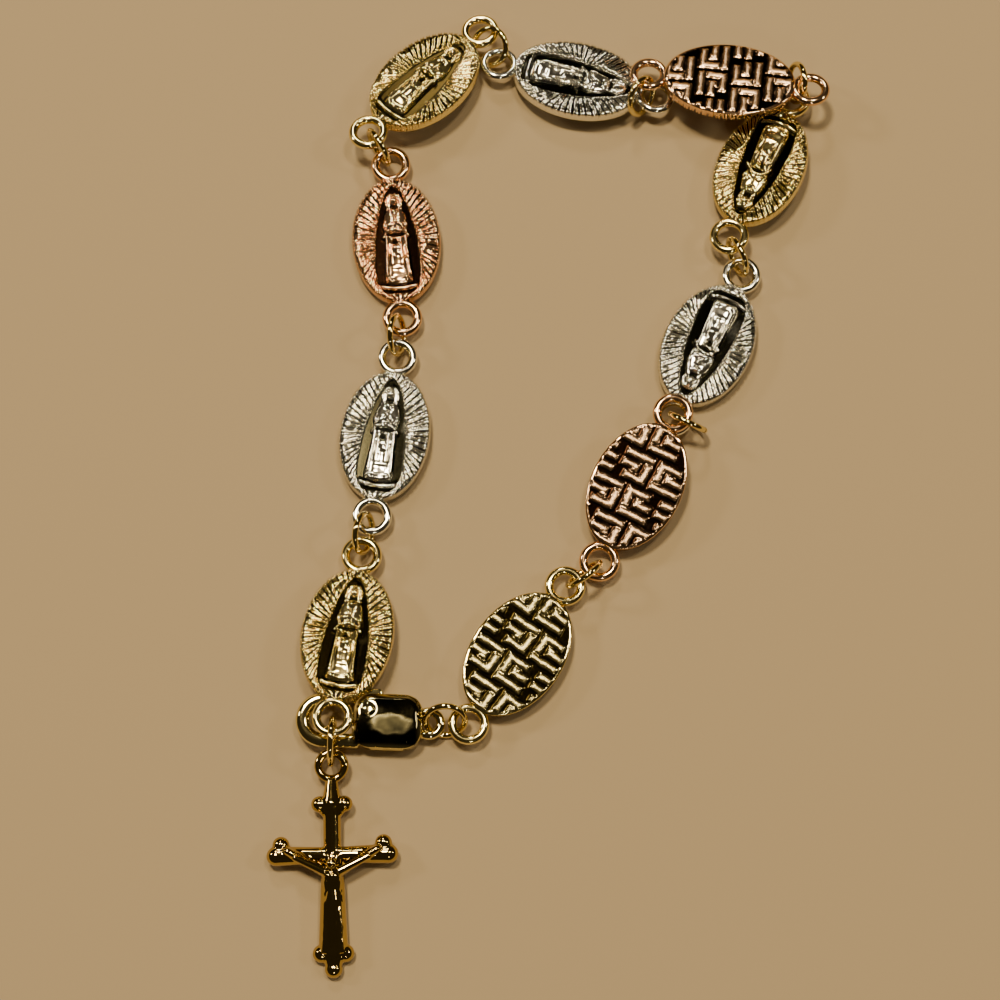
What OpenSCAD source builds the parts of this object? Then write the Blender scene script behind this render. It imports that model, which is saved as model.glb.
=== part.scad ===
/* [Medals] */
// Length of a medal's oval without its eyes
medal_l = 12.2; // [11:0.1:13.4]
// Width of a medal's oval
medal_w = 8.2; // [7.4:0.1:9]
// Thickness of the oval at its rim
medal_t = 1; // [0.8:0.05:1.3]
// Rays cast round the front of a medal
ray_count = 56; // [40:2:60]
// Depth of the grooves between the rays
ray_depth = 0.16; // [0.08:0.01:0.25]
// Rise of the rays above the rim where they meet the recess
ray_rise = 0.12; // [0.05:0.01:0.2]
// Depth of the smooth recess behind the figure, below the rim
recess_depth = 0.3; // [0.15:0.01:0.4]
// Height of the standing figure
figure_h = 9.6; // [8:0.1:10]
// Relief of the figure above the floor of its recess
figure_relief = 0.6; // [0.4:0.05:0.75]
// Width of a bar of the key pattern on the back
key_bar = 0.52; // [0.4:0.02:0.6]
// Width of a groove inside a key of the pattern
key_groove = 0.5; // [0.36:0.02:0.6]
// Gap between two keys of the pattern
key_gap = 0.6; // [0.4:0.02:0.8]
// Height of the key pattern's bars
key_relief = 0.22; // [0.12:0.02:0.3]

/* [Eyes and jump rings] */
// Outer diameter of the eye at each end of a medal
eye_od = 3.64; // [3.4:0.02:3.7]
// Wire of a medal's eye
eye_wire = 0.8; // [0.66:0.02:0.8]
// Outer diameter of a jump ring
ring_od = 4; // [3.8:0.05:4.3]
// Wire of a jump ring
ring_wire = 0.56; // [0.48:0.02:0.62]
// Slit where a jump ring's two wire ends meet
ring_slit = 0.12; // [0.06:0.02:0.3]
// Height of an eye above the ring wire that passes under it
eye_lift = 0.24; // [0.18:0.02:0.4]
// Outer diameter of the ring that holds the crucifix in the clasp
cross_ring_od = 4.5; // [4.4:0.05:4.8]

/* [Clasp] */
// Length of the clasp from the hook's end to the body's end
clasp_l = 11.1; // [10.6:0.1:12]
// Width of the clasp
clasp_w = 4.8; // [4.6:0.05:5.2]
// Thickness of the clasp's body
clasp_t = 2.4; // [2.2:0.05:2.8]
// Length of the opening inside the hook
hook_gap_l = 3.75; // [3.5:0.05:4]
// Width of the hook's bar
hook_w = 1.25; // [1.1:0.05:1.3]
// Thickness of the hook's bar
hook_t = 1.2; // [1.1:0.05:1.3]
// Thickness of the lever
lever_t = 1.1; // [0.9:0.05:1.2]
// Clearance between the lever and what it moves beside
lever_gap = 0.1; // [0.06:0.01:0.15]
// Diameter of the pin that the lever turns on
pin_d = 0.8; // [0.6:0.05:0.9]
// Running clearance of the lever's bore round the pin
pin_play = 0.04; // [0.02:0.01:0.08]
// Outer diameter of the tail eye
tail_od = 2.9; // [2.7:0.05:3.1]
// Wire of the tail eye
tail_wire = 0.8; // [0.7:0.05:0.85]
// Depth to which the tail eye is let into the end of the body
tail_sink = 0.5; // [0.3:0.05:0.6]

/* [Crucifix] */
// Height of the cross without its eye
cross_h = 17; // [15:0.1:19]
// Span of the arms from tip to tip
cross_span = 11.4; // [10:0.1:12.6]
// Thickness of the cross between its flat back and its crown
cross_t = 1.5; // [1.2:0.05:1.8]
// Outer diameter of the cross's eye
cross_eye_od = 3; // [2.8:0.05:3.2]
// Wire of the cross's eye
cross_eye_wire = 0.7; // [0.6:0.02:0.75]
// Width of the upright between the eye and the arms
upright_w = 1.55; // [1.3:0.05:1.8]
// Width of the upright at its foot
foot_w = 2.6; // [2:0.05:2.8]
// Width of the arms
arm_w = 1.7; // [1.4:0.05:1.9]
// Span of the buds above and below
bud_span = 3.6; // [3:0.05:4]

/* [Hidden] */
medal_names = ["medal_01", "medal_02", "medal_03", "medal_04", "medal_05",
    "medal_06", "medal_07", "medal_08", "medal_09", "medal_10"];
ring_names = ["jump_ring_01", "jump_ring_02", "jump_ring_03", "jump_ring_04", "jump_ring_05",
    "jump_ring_06", "jump_ring_07", "jump_ring_08", "jump_ring_09"];
finish = ["#d9b45a", "#c9c9c2", "#c98d6f"];
gold = finish[0];
round_fn = 48;
overlap = 0.05;

// Radii of the wires' centre lines
eye_r = (eye_od - eye_wire) / 2;
ring_r = (ring_od - ring_wire) / 2;
cross_ring_r = (cross_ring_od - ring_wire) / 2;
tail_r = (tail_od - tail_wire) / 2;
cross_eye_r = (cross_eye_od - cross_eye_wire) / 2;

// An eye's wire is centred on the end of the oval that carries it
medal_pitch = medal_l + 2 * eye_r;
low_level = ring_wire + eye_lift + eye_wire / 2;

// Heights in a medal, from the middle of its rim
rim_top = medal_t / 2;
ray_crest = rim_top + ray_rise;
recess_floor = rim_top - recess_depth;
back_face = -medal_t / 2;

// Half axes of the recess as shares of the oval's, how much wider its lower half is than
// its upper half, and how square its lower end is
recess_w_share = 0.45;
recess_l_share = 0.86;
recess_taper = 0.3;
recess_square = 0.4;

// Heights in the clasp: its hook lies over the wire of the crucifix's ring, and the first
// medal's eye lies over the hook
hook_clear = 0.19;
seat_clear = 0.3;
clasp_mid = ring_wire + hook_clear + hook_t / 2;
hook_seat = clasp_mid + hook_t / 2 + eye_wire + seat_clear;
slot_t = lever_t + 2 * lever_gap;
bar_y = (clasp_w - hook_w) / 2;
bend_r = bar_y;
opening_x0 = hook_w;
body_x0 = opening_x0 + hook_gap_l;
pin_inset_x = 1.35;
pin_inset_y = 1.45;
pin_x = body_x0 + pin_inset_x;
pin_y = clasp_w / 2 - pin_inset_y;
hub_r = 0.95;
gate_w = 0.75;
pocket_l = 1.5;
hook_stub = 0.15;
bend_x = bend_r + hook_w / 2;

// The gate's end sweeps past the hook's end as the lever turns
gate_reach = pin_x - bend_x - hook_stub - lever_gap;
gate_out = bar_y + hook_w / 2 - lever_gap;

// The first medal's eye is taken by the hook this far from the hook's end
seat_x = 3.35;
tail_x = clasp_l + tail_r - tail_sink;
clasp_heading = -2;

// The chain as it lies, one row for each medal from the clasp round to the clasp:
// heading of the medal, steps of its foot eye and head eye above the lowest level in eye wires,
// roll to the side, 1 with the figure up or -1 with the key pattern up,
// heading of the link that follows, and its reach from eye to eye in jump ring diameters
chain = [
    [81.5, 0, 0.225, 0, 1, 77, 0.945],
    [81.8, 0, 0, 0, 1, 84, 0.955],
    [94.6, 0, 0, 0, 1, 128, 0.83],
    [46.3, 1.98, 0.27, -10, 1, -61, 0.93],
    [-13.5, 0.09, 0.36, -10, 1, 111, 0.485],
    [-7.3, 1.755, 2.745, -14, -1, -171, 0.4],
    [-114.2, 0.36, 0.99, 8, 1, -73, 0.92],
    [-115.6, 0, 0, 0, 1, -164, 0.03],
    [-116.6, 1.575, 0.135, 0, -1, -144, 0.945],
    [-124.6, 0, 0.27, 0, -1, 179, 0.865]];
HEADING = 0;
FOOT = 1;
HEAD = 2;
ROLL = 3;
FACE = 4;
LINK = 5;
REACH = 6;

// How each ring lies between its two eyes, one row for each link in the same order:
// twist from the link's heading, lean from upright, shift of its centre along that
// direction and up its own plane in ring radii, and where round the ring its slit is
links = [
    [1, 20, 0.01, 0.42, -60],
    [0, 18, 0, 0.46, -60],
    [-6.5, -1, 0.08, 0.04, -120],
    [10, 51.1, -0.04, 0.04, -60],
    [-55, 24, -0.92, 0.26, -90],
    [89, 17, -0.81, -0.17, -90],
    [7, 5, 0.17, 0.25, -60],
    [137, -17, 0.84, 0.07, 20],
    [2, 18, 0.01, 0.43, -60],
    [1.4, -37, 0.17, 0.22, -60]];
TWIST = 0;
LEAN = 1;
OUT = 2;
LIFT = 3;
SLIT = 4;

last = len(chain) - 1;
knee = 4;

function unit(v) = v / norm(v);
function level(v) = [cos(v), sin(v)];
function turned(p, a) = [p[0] * cos(a) - p[1] * sin(a), p[0] * sin(a) + p[1] * cos(a)];

function foot_z(i) = i == 0 ? hook_seat : low_level + chain[i][FOOT] * eye_wire;
function head_z(i) = low_level + chain[i][HEAD] * eye_wire;
function run(i) = sqrt(pow(medal_pitch, 2) - pow(head_z(i) - foot_z(i), 2));
function link_step(i) = chain[i][REACH] * ring_od * level(chain[i][LINK]);

// The foot eye of medal i as the table's headings alone would place it
function walk(i) = i == 0 ? [0, 0]
    : walk(i - 1) + run(i - 1) * level(chain[i - 1][HEADING]) + link_step(i - 1);

// The two runs of the chain turn as wholes until they meet at the knee and reach the tail
tail_xy = turned([tail_x - seat_x, 0], clasp_heading);
goal = tail_xy - link_step(last);
first_run = walk(knee);
second_run = walk(last) + run(last) * level(chain[last][HEADING]) - first_run;
goal_d = norm(goal);
knee_angle = acos((pow(norm(first_run), 2) + pow(goal_d, 2) - pow(norm(second_run), 2))
    / (2 * norm(first_run) * goal_d));
knee_xy = norm(first_run) * level(atan2(goal[1], goal[0]) + knee_angle);
first_turn = atan2(knee_xy[1], knee_xy[0]) - atan2(first_run[1], first_run[0]);
to_goal = goal - knee_xy;
second_turn = atan2(to_goal[1], to_goal[0]) - atan2(second_run[1], second_run[0]);

function run_turn(i) = i < knee ? first_turn : second_turn;
function foot_xy(i) = i < knee ? turned(walk(i), first_turn)
    : knee_xy + turned(walk(i) - first_run, second_turn);
function foot(i) = [foot_xy(i)[0], foot_xy(i)[1], foot_z(i)];
function head(i) = let (p = foot_xy(i) + run(i) * level(chain[i][HEADING] + run_turn(i)))
    [p[0], p[1], head_z(i)];
function next_eye(i) = i < last ? foot(i + 1) : [tail_xy[0], tail_xy[1], clasp_mid];

// Directions of a medal: across it, along it to the figure's head, and out of its front
function medal_y(i) = unit(head(i) - foot(i));
function medal_flat_x(i) = unit(cross(medal_y(i), [0, 0, 1]));
function medal_roll(i) = chain[i][ROLL] + (chain[i][FACE] > 0 ? 0 : 180);
function medal_x(i) = let (x = medal_flat_x(i), z = cross(x, medal_y(i)), a = medal_roll(i))
    x * cos(a) - z * sin(a);
function medal_mid(i) = (foot(i) + head(i)) / 2;

// Directions of a ring: along its level diameter and up its plane
function ring_level(i) = chain[i][LINK] + run_turn(i) + links[i][TWIST];
function ring_x(i) = [cos(ring_level(i)), sin(ring_level(i)), 0];
function ring_y(i) = let (a = links[i][LEAN])
    [-sin(ring_level(i)) * sin(a), cos(ring_level(i)) * sin(a), cos(a)];
function ring_mid(i) = (head(i) + next_eye(i)) / 2
    + ring_r * (links[i][OUT] * ring_x(i) + links[i][LIFT] * ring_y(i));

// The crucifix's ring stands across the hook's lower bar, and the cross hangs south of it
cross_ring_out = 0.22;
cross_clear = 0.1;
cross_ring_y = -bar_y - cross_ring_out;
cross_ring_at = turned([0, cross_ring_y], clasp_heading);
cross_ring_mid = [cross_ring_at[0], cross_ring_at[1], cross_ring_r + ring_wire / 2];
cross_eye_at = turned([0, -clasp_w / 2 - cross_clear - cross_eye_wire / 2 - cross_eye_r],
    clasp_heading);
cross_eye_z = 1.45;
cross_heading = -88.5;

// Heights of the buds and arms down the cross from its eye, as shares of cross_h
upper_bud_share = 0.128;
arm_share = 0.385;
lower_bud_share = 0.876;
cross_back = 0.55;
cross_drop = asin((cross_eye_z - cross_back) / (cross_h + cross_eye_r));

// Middle of the whole outline on the floor, which becomes the origin
function oval_reach(i, k) = norm([medal_w / 2 * medal_x(i)[k], medal_l / 2 * medal_y(i)[k]]);
function circle_reach(x, y, r, k) = r * norm([x[k], y[k]]);
cross_tip = cross_eye_at + (cross_eye_r + cross_h) * cos(cross_drop) * level(cross_heading);
cross_side = cross_eye_at + (cross_eye_r + cross_h * arm_share) * level(cross_heading);
reach_x = concat(
    [for (i = [0 : last]) for (s = [-1, 1]) medal_mid(i)[0] + s * oval_reach(i, 0)],
    [for (i = [0 : last]) for (s = [-1, 1]) head(i)[0] + s * eye_od / 2],
    [for (i = [0 : last]) for (s = [-1, 1])
        ring_mid(i)[0] + s * (circle_reach(ring_x(i), ring_y(i), ring_r, 0) + ring_wire / 2)],
    [cross_side[0] - cross_span / 2, cross_side[0] + cross_span / 2, -seat_x]);
reach_y = concat(
    [for (i = [0 : last]) for (s = [-1, 1]) medal_mid(i)[1] + s * oval_reach(i, 1)],
    [for (i = [0 : last]) for (s = [-1, 1]) head(i)[1] + s * eye_od / 2],
    [for (i = [0 : last]) for (s = [-1, 1])
        ring_mid(i)[1] + s * (circle_reach(ring_x(i), ring_y(i), ring_r, 1) + ring_wire / 2)],
    [cross_tip[1]]);
home = [-(min(reach_x) + max(reach_x)) / 2, -(min(reach_y) + max(reach_y)) / 2, 0];

// Places its children with their own x, y and z axes along the given directions
module at_frame(mid, x, y) {
    z = cross(x, y);
    p = mid + home;
    multmatrix([
        [x[0], y[0], z[0], p[0]],
        [x[1], y[1], z[1], p[1]],
        [x[2], y[2], z[2], p[2]],
        [0, 0, 0, 1]])
        children();
}

module wire_ring(r, wire, slit = 0) {
    open = slit > 0 ? asin(slit / r) : 0;
    rotate([0, 0, open / 2])
        rotate_extrude(angle = 360 - open, $fn = round_fn)
            translate([r, 0])
                circle(d = wire, $fn = round_fn);
}

function rim_point(share, t) = share * [medal_w / 2 * cos(t), medal_l / 2 * sin(t)];
function recess_point(t) = let (squared = sin(t) < 0 ? recess_square : 1)
    [medal_w / 2 * recess_w_share * (1 - recess_taper * sin(t))
        * sign(cos(t)) * pow(abs(cos(t)), squared),
        medal_l / 2 * recess_l_share * sin(t)];
function blank_point(share, t) = (1 - share) * recess_point(t) + share * rim_point(1, t);

// Rows of the blank from the recess over the rays to the back: place between recess and rim
// on a ray, the same in a groove, height on a ray, height in a groove
blank_rows = [
    [0, 0, recess_floor, recess_floor],
    [0.1, 0.1, ray_crest, ray_crest - ray_depth * 0.7],
    [1, 0.95, rim_top, rim_top - ray_depth],
    [1, 0.97, back_face + 0.12, back_face + 0.12],
    [0.88, 0.88, back_face, back_face]];

module medal_blank() {
    n = 2 * ray_count;
    m = len(blank_rows);
    points = [for (row = blank_rows) for (j = [0 : n - 1]) let (
        groove = j % 2,
        p = blank_point(row[groove], 360 * j / n))
        [p[0], p[1], row[2 + groove]]];
    faces = concat(
        [[for (j = [n - 1 : -1 : 0]) j]],
        [for (k = [0 : m - 2]) for (j = [0 : n - 1])
            [k * n + j, k * n + (j + 1) % n, (k + 1) * n + j]],
        [for (k = [0 : m - 2]) for (j = [0 : n - 1])
            [k * n + (j + 1) % n, (k + 1) * n + (j + 1) % n, (k + 1) * n + j]],
        [[for (j = [0 : n - 1]) (m - 1) * n + j]]);
    polyhedron(points = points, faces = faces);
}

// Sections of the cloaked figure from its hem to its veil: height up the figure,
// half width and relief, as shares of figure_h, figure_h and figure_relief
cloak_rows = [
    [0, 0.13, 0.6],
    [0.08, 0.14, 0.7],
    [0.3, 0.125, 0.75],
    [0.5, 0.095, 0.8],
    [0.6, 0.115, 0.95],
    [0.7, 0.11, 0.85],
    [0.78, 0.085, 0.6],
    [0.83, 0.07, 0.5],
    [0.91, 0.085, 0.8],
    [0.97, 0.06, 0.6],
    [1, 0.02, 0.3]];

// Half-round relief along y on the plane z = 0, lofted through its sections
module relief_loft(rows, h, relief, arc) {
    n = arc + 1;
    m = len(rows);
    points = [for (row = rows) for (j = [0 : arc]) let (t = 180 * j / arc)
        [h * row[1] * cos(t), h * row[0], -overlap + (relief * row[2] + overlap) * sin(t)]];
    faces = concat(
        [[for (j = [n - 1 : -1 : 0]) j]],
        [for (k = [0 : m - 2]) for (j = [0 : n - 1])
            [k * n + j, k * n + (j + 1) % n, (k + 1) * n + j]],
        [for (k = [0 : m - 2]) for (j = [0 : n - 1])
            [k * n + (j + 1) % n, (k + 1) * n + (j + 1) % n, (k + 1) * n + j]],
        [[for (j = [0 : n - 1]) (m - 1) * n + j]]);
    polyhedron(points = points, faces = faces);
}

// A standing figure in a cloak and veil with joined hands, on a low plinth
module figure() {
    translate([0, -figure_h / 2, recess_floor]) {
        relief_loft(cloak_rows, figure_h, figure_relief, 6);
        translate([0, figure_h * 0.88, figure_relief * 0.35])
            sphere(d = figure_h * 0.1, $fn = round_fn);
        translate([0, figure_h * 0.64, figure_relief * 0.7])
            sphere(d = figure_h * 0.062, $fn = round_fn);
        translate([-figure_h * 0.15, -figure_h * 0.02, -overlap])
            cube([figure_h * 0.3, figure_h * 0.045, figure_relief * 0.6 + overlap]);
    }
}

// One key of the broken pattern: a long bar, and a hook of bars above it
module key() {
    b = key_bar;
    g = key_groove;
    side = 3 * b + 2 * g;
    translate([-side / 2, -side / 2]) {
        square([side, b]);
        polygon([[side - b, b + g / 2], [side, b + g / 2], [side, side], [b, side],
            [b, side - b], [side - b, side - b]]);
        polygon([[0, b + g], [side - 2 * b, b + g], [side - 2 * b, side - 1.6 * b],
            [side - 3 * b, side - 1.6 * b], [side - 3 * b, 2 * b + g], [0, 2 * b + g]]);
    }
}

module key_pattern() {
    pitch = 3 * key_bar + 2 * key_groove + key_gap;
    rows = ceil(medal_l / pitch);
    columns = ceil(medal_w / pitch);
    translate([0, 0, back_face - key_relief])
        linear_extrude(height = key_relief + overlap)
            intersection() {
                polygon([for (j = [0 : ray_count - 1]) rim_point(0.86, 360 * j / ray_count)]);
                union()
                    for (r = [0 : rows - 1])
                        for (c = [0 : columns - 1])
                            translate([
                                (c - (columns - 1) / 2 + (r % 2 == 0 ? 0.25 : -0.25)) * pitch,
                                (r - (rows - 1) / 2) * pitch])
                                rotate((r + c) % 2 == 0 ? 0 : 180)
                                    key();
            }
}

// A medal lies along y with its foot at -y, its front at +z and the middle of its rim at z = 0
module medal_cast() {
    medal_blank();
    figure();
    key_pattern();
    for (s = [-1, 1])
        translate([0, s * medal_pitch / 2, 0])
            wire_ring(eye_r, eye_wire);
}

module medal(i) {
    color(finish[i % 3])
        at_frame(medal_mid(i), medal_x(i), medal_y(i))
            medal_cast();
}

module jump_ring(i) {
    color(gold)
        at_frame(ring_mid(i), ring_x(i), ring_y(i))
            rotate([0, 0, links[i][SLIT]])
                wire_ring(ring_r, ring_wire, ring_slit);
}

module clasp_ring() {
    jump_ring(last);
}

// This ring stands across the hook's lower bar, through the first medal's foot eye
module crucifix_ring() {
    across = level(clasp_heading + 90);
    color(gold)
        at_frame(cross_ring_mid, [across[0], across[1], 0], [0, 0, 1])
            rotate([0, 0, 60])
                wire_ring(cross_ring_r, ring_wire, ring_slit);
}

// The clasp lies along x with its hook's end at x = 0 and its middle at z = 0
module clasp_frame() {
    along = level(clasp_heading);
    at_frame([-seat_x * along[0], -seat_x * along[1], clasp_mid],
        [along[0], along[1], 0], [-along[1], along[0], 0])
        children();
}

// Section of a bar of the given width and thickness, with its edges taken off
module bevelled(w, t, edge) {
    a = w / 2;
    b = t / 2;
    polygon([[a, b - edge], [a - edge, b], [edge - a, b], [-a, b - edge],
        [-a, edge - b], [edge - a, -b], [a - edge, -b], [a, edge - b]]);
}

// The body's block, rounded at its corners and bevelled all round
module clasp_block() {
    corner_r = clasp_w / 3;
    edge = clasp_t * 0.2;
    l = clasp_l - body_x0;
    translate([(body_x0 + clasp_l) / 2, 0, 0]) {
        rotate([90, 0, 90])
            linear_extrude(height = l - 2 * corner_r, center = true)
                bevelled(clasp_w, clasp_t, edge);
        rotate([90, 0, 0])
            linear_extrude(height = clasp_w - 2 * corner_r, center = true)
                bevelled(l, clasp_t, edge);
        for (x = [-1, 1])
            for (y = [-1, 1])
                translate([x * (l / 2 - corner_r), y * (clasp_w / 2 - corner_r), 0]) {
                    cylinder(h = clasp_t - 2 * edge, r = corner_r, center = true, $fn = round_fn);
                    for (s = [0, 1])
                        mirror([0, 0, s])
                            translate([0, 0, clasp_t / 2 - edge])
                                cylinder(h = edge, r1 = corner_r, r2 = corner_r - edge, $fn = round_fn);
                }
    }
}

module hook() {
    edge = hook_t / 4;
    translate([bend_x, 0, 0])
        rotate([0, 0, 90])
            rotate_extrude(angle = 180, $fn = round_fn)
                translate([bend_r, 0])
                    bevelled(hook_w, hook_t, edge);
    translate([bend_x, -bar_y, 0])
        rotate([90, 0, 90])
            linear_extrude(height = body_x0 - bend_x + 0.6)
                bevelled(hook_w, hook_t, edge);
    translate([bend_x, bar_y, 0])
        rotate([90, 0, 90])
            linear_extrude(height = hook_stub)
                bevelled(hook_w, hook_t, edge);
}

module clasp_body() {
    color(gold)
        clasp_frame() {
            difference() {
                union() {
                    hook();
                    clasp_block();
                    translate([tail_x, 0, 0])
                        wire_ring(tail_r, tail_wire);
                }
                // Pocket of the lever, open towards the hook and at the upper edge
                translate([body_x0 - 0.5, pin_y - hub_r - lever_gap, -slot_t / 2])
                    cube([pin_x + pocket_l - body_x0 + 0.5, clasp_w, slot_t]);
                // Dimple over the pin
                translate([pin_x, pin_y, clasp_t / 2 - 0.2])
                    cylinder(h = 0.4, r1 = 0.4, r2 = 0.8, $fn = round_fn);
                // Grooves along the lower side
                for (s = [-1, 1])
                    translate([body_x0 + 1.6, -clasp_w / 2 - 0.1, s * 0.32 - 0.1])
                        cube([clasp_l - body_x0 - 3.2, 0.25, 0.2]);
            }
            // Pin of the lever
            translate([pin_x, pin_y, 0])
                cylinder(h = slot_t + 0.4, d = pin_d, center = true, $fn = round_fn);
        }
}

module lever_plate(points) {
    linear_extrude(height = lever_t)
        polygon(points);
}

module clasp_lever() {
    tab_y = clasp_w / 2 + 0.45;
    gate_in = gate_out - gate_w;
    color(gold)
        clasp_frame()
            translate([0, 0, -lever_t / 2])
                difference() {
                    union() {
                        translate([pin_x, pin_y, 0])
                            cylinder(h = lever_t, r = hub_r, $fn = round_fn);
                        // Gate, from the hub to the hook's upper end
                        lever_plate([
                            [pin_x - sqrt(pow(gate_reach, 2) - pow(gate_out - pin_y, 2)), gate_out],
                            [pin_x - sqrt(pow(gate_reach, 2) - pow(gate_in - pin_y, 2)), gate_in],
                            [body_x0, gate_in],
                            [pin_x - 0.6, pin_y - 0.1],
                            [pin_x + 0.1, gate_out]]);
                        // Thumb tab, standing out of the upper edge
                        lever_plate([
                            [pin_x - 0.4, pin_y + 0.3],
                            [pin_x - 0.2, tab_y],
                            [pin_x + 1, tab_y],
                            [pin_x + 1.25, tab_y - 0.35],
                            [pin_x + 0.75, pin_y + 0.2]]);
                    }
                    translate([pin_x, pin_y, -1])
                        cylinder(h = lever_t + 2, d = pin_d + 2 * pin_play, $fn = round_fn);
                }
}

// A bud to each side, thick at the middle and round at its end
module bud(d) {
    ball_d = d * 0.84;
    for (s = [-1, 1])
        rotate([0, s * 90, 0]) {
            cylinder(h = (bud_span - ball_d) / 2, d1 = d, d2 = d * 0.7, $fn = round_fn);
            translate([0, 0, (bud_span - ball_d) / 2])
                sphere(d = ball_d, $fn = round_fn);
        }
}

// Rows of the hanging body from its feet to its shoulders, as for the cloak
corpus_rows = [
    [0, 0.06, 0.5],
    [0.12, 0.075, 0.7],
    [0.3, 0.085, 0.75],
    [0.5, 0.11, 0.85],
    [0.6, 0.115, 0.9],
    [0.75, 0.09, 0.85],
    [0.93, 0.14, 1],
    [1, 0.1, 0.6]];

// The body hangs from y = at, the height of its shoulders, with the given length
module corpus(l, at) {
    relief = cross_t * 0.45;
    translate([0, at - l, cross_t - cross_back - 0.3]) {
        relief_loft(corpus_rows, l, relief, 6);
        translate([0, l * 1.09, relief * 0.8])
            sphere(d = l * 0.17, $fn = round_fn);
        for (s = [-1, 1])
            translate([s * l * 0.08, l * 0.98, relief * 0.6])
                rotate([0, s * 90, s * 26])
                    cylinder(h = cross_span * 0.27, r1 = l * 0.065, r2 = l * 0.05, $fn = round_fn);
    }
}

// A round bar that runs down from y = from, the length l
module upright(from, l, d1, d2) {
    translate([0, from, 0])
        rotate([90, 0, 0])
            cylinder(h = l, d1 = d1, d2 = d2, $fn = round_fn);
}

// The arm on the side s, with a ball over its end
module arm(s) {
    rotate([0, s * 90, 0])
        cylinder(h = cross_span / 2 - arm_w / 2, d1 = arm_w * 0.8, d2 = arm_w, $fn = round_fn);
    translate([s * (cross_span / 2 - arm_w / 2), 0, 0])
        sphere(d = arm_w, $fn = round_fn);
    translate([s * (cross_span / 2 - arm_w * 0.75), arm_w * 0.55, 0])
        sphere(d = arm_w * 0.88, $fn = round_fn);
}

// The cross lies along y with its eye's centre at the origin and its flat back at -cross_back
module cross_cast() {
    top = -cross_eye_r;
    neck_l = cross_h * upper_bud_share;
    arm_y = top - cross_h * arm_share;
    bud_y = top - cross_h * lower_bud_share;
    difference() {
        union() {
            wire_ring(cross_eye_r, cross_eye_wire);
            upright(top, neck_l, cross_eye_wire * 1.4, upright_w * 1.15);
            upright(top - neck_l, cross_h * arm_share - neck_l, upright_w, upright_w);
            upright(arm_y, arm_y - bud_y, upright_w * 1.2, foot_w);
            upright(bud_y, cross_h * (1 - lower_bud_share) - foot_w * 0.3, foot_w * 0.8, foot_w * 0.5);
            translate([0, top - cross_h + foot_w * 0.3, 0])
                sphere(d = foot_w * 0.6, $fn = round_fn);
            translate([0, top - neck_l, 0])
                bud(upright_w * 1.1);
            translate([0, bud_y, 0])
                bud(foot_w * 0.72);
            translate([0, arm_y, 0])
                for (s = [-1, 1])
                    arm(s);
        }
        // Flat back and flattened crown
        translate([-cross_span, -2 * cross_h, -cross_back - cross_t])
            cube([2 * cross_span, 3 * cross_h, cross_t]);
        translate([-cross_span, -2 * cross_h, cross_t - cross_back])
            cube([2 * cross_span, 3 * cross_h, cross_t]);
    }
    corpus(cross_h * 0.365, arm_y - cross_h * 0.082);
}

module crucifix() {
    along = level(cross_heading);
    color(gold)
        at_frame([cross_eye_at[0], cross_eye_at[1], cross_eye_z],
            [-along[1], along[0], 0],
            [-along[0] * cos(cross_drop), -along[1] * cos(cross_drop), sin(cross_drop)])
            cross_cast();
}

medal(0);  // medal_01
medal(1);  // medal_02
medal(2);  // medal_03
medal(3);  // medal_04
medal(4);  // medal_05
medal(5);  // medal_06
medal(6);  // medal_07
medal(7);  // medal_08
medal(8);  // medal_09
medal(9);  // medal_10
jump_ring(0);  // jump_ring_01
jump_ring(1);  // jump_ring_02
jump_ring(2);  // jump_ring_03
jump_ring(3);  // jump_ring_04
jump_ring(4);  // jump_ring_05
jump_ring(5);  // jump_ring_06
jump_ring(6);  // jump_ring_07
jump_ring(7);  // jump_ring_08
jump_ring(8);  // jump_ring_09
clasp_ring();
crucifix_ring();
clasp_body();
clasp_lever();
crucifix();
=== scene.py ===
import bpy
import bmesh
import math
import numpy as np
from mathutils import Matrix, Vector


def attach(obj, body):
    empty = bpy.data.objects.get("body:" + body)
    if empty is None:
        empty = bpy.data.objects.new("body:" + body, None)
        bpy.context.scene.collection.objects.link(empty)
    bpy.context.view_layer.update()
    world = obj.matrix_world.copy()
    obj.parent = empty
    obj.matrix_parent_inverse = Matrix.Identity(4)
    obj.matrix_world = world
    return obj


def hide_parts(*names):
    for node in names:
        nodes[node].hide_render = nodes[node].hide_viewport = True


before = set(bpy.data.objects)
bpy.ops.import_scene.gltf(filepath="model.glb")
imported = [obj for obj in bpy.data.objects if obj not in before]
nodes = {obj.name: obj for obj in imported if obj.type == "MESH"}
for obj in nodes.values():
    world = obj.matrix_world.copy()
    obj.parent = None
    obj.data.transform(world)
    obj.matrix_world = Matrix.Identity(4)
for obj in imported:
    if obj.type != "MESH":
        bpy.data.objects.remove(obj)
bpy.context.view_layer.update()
mm = 0.001
toMillimetres, toMetres = Matrix.Scale(1 / mm, 4), Matrix.Scale(mm, 4)
rootBody, leverBody = "bracelet", "lever"


# Colours and node helpers
def linear(code):
    parts = [int(code[k:k + 2], 16) / 255 for k in (1, 3, 5)]
    return tuple(c / 12.92 if c <= 0.04045 else ((c + 0.055) / 1.055) ** 2.4 for c in parts) + (1.0,)


def addNode(tree, kind, values=None, wires=None, **settings):
    made = tree.nodes.new(kind)
    for name, value in settings.items():
        setattr(made, name, value)
    for key, value in (values or {}).items():
        made.inputs[key].default_value = value
    for key, socket in (wires or {}).items():
        tree.links.new(socket, made.inputs[key])
    return made


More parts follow.
